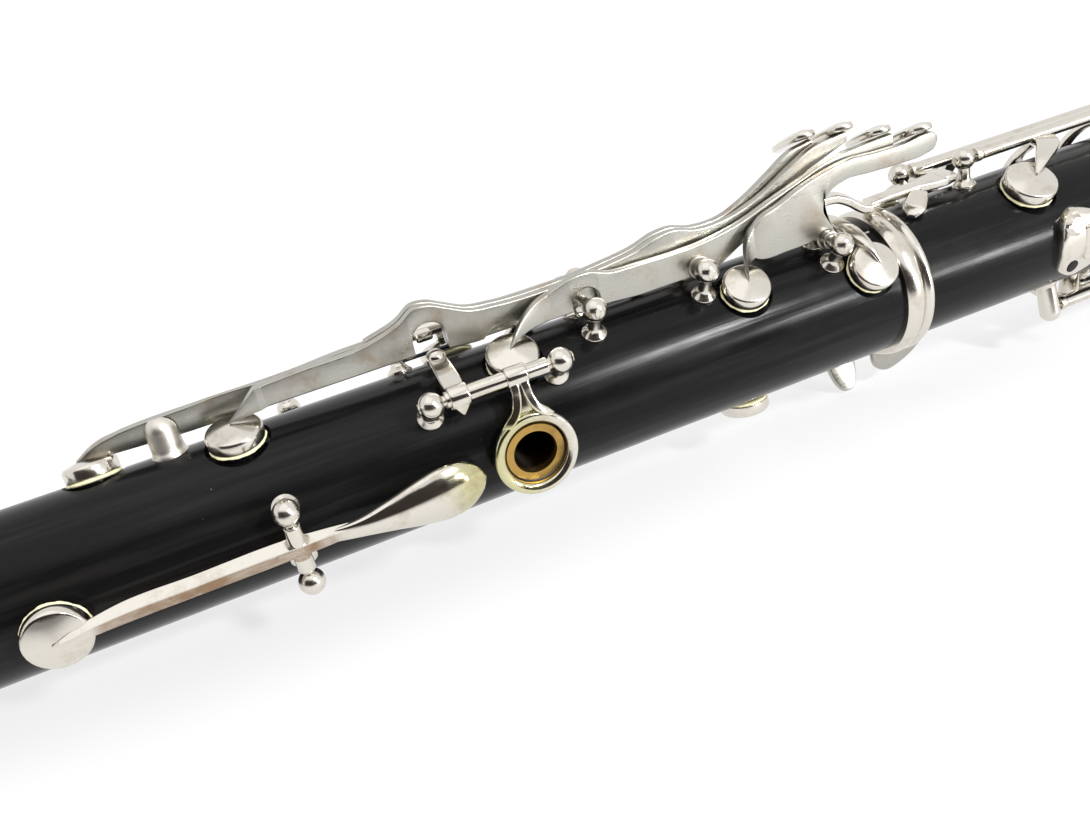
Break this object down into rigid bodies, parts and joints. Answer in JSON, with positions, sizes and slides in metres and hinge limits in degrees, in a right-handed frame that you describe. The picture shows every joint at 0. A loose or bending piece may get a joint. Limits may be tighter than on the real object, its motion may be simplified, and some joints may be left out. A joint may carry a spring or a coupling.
{
  "type": "clarinet",
  "caption": "Clarinet of black wood with plated keywork: mouthpiece, barrel, two joints and bell, ring keys, side keys, register key and little-finger keys on hinge rods.",
  "frame": {"origin": "on the bore axis, at the shoulder between the upper and the lower joint", "axes": "+X along the bore to the bell, -Y the thumb side, +Z the side keys"},
  "size_m": [0.6596, 0.078, 0.078],
  "materials": {
    "body": "satin black stained grenadilla",
    "ebonite": "polished black hard rubber",
    "plating": "worn warm silver plating",
    "pad_skin": "pale yellow bladder skin",
    "brass": "bare worn brass",
    "spring_steel": "blued spring steel",
    "cork": "greased tenon cork",
    "cane": "scraped cane"
  },
  "bodies": {
    "tubes": {"upper_joint": "body", "lower_joint": "body", "bell": "body", "tenon_corks": "cork", "hole_tubes": "brass", "joint_rings": "plating", "thumb_rest": "plating", "thumb_rest_screws": "plating", "upper_posts": "plating", "lower_posts": "plating", "upper_rods": "plating", "lower_rods": "plating", "upper_springs": "spring_steel", "lower_springs": "spring_steel", "key_guide": "plating"},
    "head": {"mouthpiece": "ebonite", "mouthpiece_cork": "cork", "reed": "cane", "ligature_band": "plating", "ligature_screws": "plating", "barrel": "body", "barrel_rings": "plating"},
    "register": {"register_key": "plating", "register_pad": "pad_skin"},
    "thumb_ring": {"thumb_ring_key": "plating"},
    "throat_a": {"throat_a_key": "plating", "throat_a_pad": "pad_skin"},
    "throat_gsharp": {"throat_gsharp_key": "plating", "throat_gsharp_pad": "pad_skin"},
    "upper_ring_1": {"upper_ring_key_1": "plating", "upper_ring_pad_1": "pad_skin"},
    "upper_ring_2": {"upper_ring_key_2": "plating", "upper_ring_pad_2": "pad_skin"},
    "side_1": {"side_key_1": "plating", "side_pad_1": "pad_skin"},
    "side_2": {"side_key_2": "plating", "side_pad_2": "pad_skin"},
    "side_3": {"side_key_3": "plating", "side_pad_3": "pad_skin"},
    "side_4": {"side_key_4": "plating", "side_pad_4": "pad_skin"},
    "csharp_gsharp": {"csharp_gsharp_key": "plating", "csharp_gsharp_pad": "pad_skin"},
    "eflat_bflat": {"eflat_bflat_key": "plating", "eflat_bflat_pad": "pad_skin"},
    "lower_ring": {"lower_ring_key": "plating", "lower_ring_pad": "pad_skin"},
    "b_fsharp": {"b_fsharp_key": "plating", "b_fsharp_pad": "pad_skin"},
    "aflat_eflat": {"aflat_eflat_key": "plating", "aflat_eflat_pad": "pad_skin"},
    "f_c": {"f_c_key": "plating", "f_c_pad": "pad_skin"},
    "e_b": {"e_b_key": "plating", "e_b_pad": "pad_skin"},
    "fsharp_csharp": {"fsharp_csharp_key": "plating", "fsharp_csharp_pad": "pad_skin"},
    "e_b_left": {"e_b_lever": "plating"},
    "fsharp_csharp_left": {"fsharp_csharp_lever": "plating"},
    "f_c_left": {"f_c_lever": "plating"}
  },
  "joints": [
    {"name": "register_hinge", "type": "hinge", "parent": "tubes", "child": "register", "pos_m": [-0.119, -0.0175, 0], "axis": [0, 0, 1], "range_deg": [0, 4], "stiffness_Nm_per_rad": 0.02, "springref_deg": -14.32},
    {"name": "thumb_ring_hinge", "type": "hinge", "parent": "tubes", "child": "thumb_ring", "pos_m": [-0.081, -0.01353, 0.01377], "axis": [1, 0, 0], "range_deg": [0, 5], "stiffness_Nm_per_rad": 0.02, "springref_deg": -14.32},
    {"name": "throat_a_hinge", "type": "hinge", "parent": "tubes", "child": "throat_a", "pos_m": [-0.113, 0.01733, 0.00244], "axis": [0, 0.1392, -0.9903], "range_deg": [0, 4], "stiffness_Nm_per_rad": 0.02, "springref_deg": -14.32},
    {"name": "throat_gsharp_hinge", "type": "hinge", "parent": "tubes", "child": "throat_gsharp", "pos_m": [-0.106, 0.01573, -0.00767], "axis": [0, -0.4384, -0.8988], "range_deg": [0, 5], "stiffness_Nm_per_rad": 0.02, "springref_deg": -14.32},
    {"name": "upper_ring_1_hinge", "type": "hinge", "parent": "tubes", "child": "upper_ring_1", "pos_m": [-0.075, 0.00816, 0.01749], "axis": [1, 0, 0], "range_deg": [-4.5, 0], "stiffness_Nm_per_rad": 0.02, "springref_deg": 14.32},
    {"name": "upper_ring_2_hinge", "type": "hinge", "parent": "tubes", "child": "upper_ring_2", "pos_m": [-0.036, 0.00816, 0.01749], "axis": [1, 0, 0], "range_deg": [-4.5, 0], "stiffness_Nm_per_rad": 0.02, "springref_deg": 14.32},
    {"name": "side_1_hinge", "type": "hinge", "parent": "tubes", "child": "side_1", "pos_m": [-0.0597, 0.0002, 0.0177], "axis": [0, 1, 0], "range_deg": [0, 1.2], "stiffness_Nm_per_rad": 0.02, "springref_deg": -14.32},
    {"name": "side_2_hinge", "type": "hinge", "parent": "tubes", "child": "side_2", "pos_m": [-0.0597, -0.0018, 0.0177], "axis": [0, 1, 0], "range_deg": [0, 1.65], "stiffness_Nm_per_rad": 0.02, "springref_deg": -14.32},
    {"name": "side_3_hinge", "type": "hinge", "parent": "tubes", "child": "side_3", "pos_m": [-0.0377, -0.0038, 0.0177], "axis": [0, 1, 0], "range_deg": [0, 2.7], "stiffness_Nm_per_rad": 0.02, "springref_deg": -14.32},
    {"name": "side_4_hinge", "type": "hinge", "parent": "tubes", "child": "side_4", "pos_m": [-0.012, -0.006, 0.0157], "axis": [0, 1, 0], "range_deg": [0, 5.2], "stiffness_Nm_per_rad": 0.02, "springref_deg": -14.32},
    {"name": "csharp_gsharp_hinge", "type": "hinge", "parent": "tubes", "child": "csharp_gsharp", "pos_m": [-0.0085, 0.01739, 0.00466], "axis": [1, 0, 0], "range_deg": [-7, 0], "stiffness_Nm_per_rad": 0.02, "springref_deg": 14.32},
    {"name": "eflat_bflat_hinge", "type": "hinge", "parent": "tubes", "child": "eflat_bflat", "pos_m": [-0.035, 0.01107, -0.01581], "axis": [1, 0, 0], "range_deg": [0, 8], "stiffness_Nm_per_rad": 0.02, "springref_deg": -14.32},
    {"name": "lower_ring_hinge", "type": "hinge", "parent": "tubes", "child": "lower_ring", "pos_m": [0.054, 0.00911, 0.01644], "axis": [1, 0, 0], "range_deg": [-4.5, 0], "stiffness_Nm_per_rad": 0.02, "springref_deg": 14.32},
    {"name": "b_fsharp_hinge", "type": "hinge", "parent": "tubes", "child": "b_fsharp", "pos_m": [0.042, 0.00098, 0.01877], "axis": [1, 0, 0], "range_deg": [-7, 0], "stiffness_Nm_per_rad": 0.02, "springref_deg": 14.32},
    {"name": "aflat_eflat_hinge", "type": "hinge", "parent": "tubes", "child": "aflat_eflat", "pos_m": [0.104, 0.00262, 0.01862], "axis": [1, 0, 0], "range_deg": [-11, 0], "stiffness_Nm_per_rad": 0.02, "springref_deg": 14.32},
    {"name": "f_c_hinge", "type": "hinge", "parent": "tubes", "child": "f_c", "pos_m": [0.15, 0.00704, 0.01743], "axis": [1, 0, 0], "range_deg": [-7, 0], "stiffness_Nm_per_rad": 0.02, "springref_deg": 14.32},
    {"name": "e_b_hinge", "type": "hinge", "parent": "tubes", "child": "e_b", "pos_m": [0.16, -0.00066, 0.01879], "axis": [1, 0, 0], "range_deg": [-6, 0], "stiffness_Nm_per_rad": 0.02, "springref_deg": 14.32},
    {"name": "fsharp_csharp_hinge", "type": "hinge", "parent": "tubes", "child": "fsharp_csharp", "pos_m": [0.125, 0.00487, -0.01816], "axis": [1, 0, 0], "range_deg": [0, 9], "stiffness_Nm_per_rad": 0.02, "springref_deg": -14.32},
    {"name": "e_b_lever_hinge", "type": "hinge", "parent": "tubes", "child": "e_b_left", "pos_m": [0.1, -0.00487, -0.01816], "axis": [1, 0, 0], "range_deg": [0, 4.8], "stiffness_Nm_per_rad": 0.02, "springref_deg": -14.32},
    {"name": "fsharp_csharp_lever_hinge", "type": "hinge", "parent": "tubes", "child": "fsharp_csharp_left", "pos_m": [0.078, 0.00487, -0.01816], "axis": [1, 0, 0], "range_deg": [0, 8.1], "stiffness_Nm_per_rad": 0.02, "springref_deg": -14.32},
    {"name": "f_c_lever_hinge", "type": "hinge", "parent": "tubes", "child": "f_c_left", "pos_m": [0.088, 0, -0.0188], "axis": [1, 0, 0], "range_deg": [0, 8], "stiffness_Nm_per_rad": 0.02, "springref_deg": -14.32},
    {"name": "tuning_slide", "type": "slide", "parent": "tubes", "child": "head", "axis": [-1, 0, 0], "range_m": [0, 0.003]}
  ],
  "couplings": [
    {"joint": "upper_ring_1_hinge", "follows": "thumb_ring_hinge", "ratio": -0.9},
    {"joint": "upper_ring_2_hinge", "follows": "lower_ring_hinge", "ratio": 1},
    {"joint": "e_b_lever_hinge", "follows": "e_b_hinge", "ratio": -0.8},
    {"joint": "f_c_lever_hinge", "follows": "f_c_hinge", "ratio": -1.1428},
    {"joint": "fsharp_csharp_lever_hinge", "follows": "fsharp_csharp_hinge", "ratio": 0.9}
  ]
}
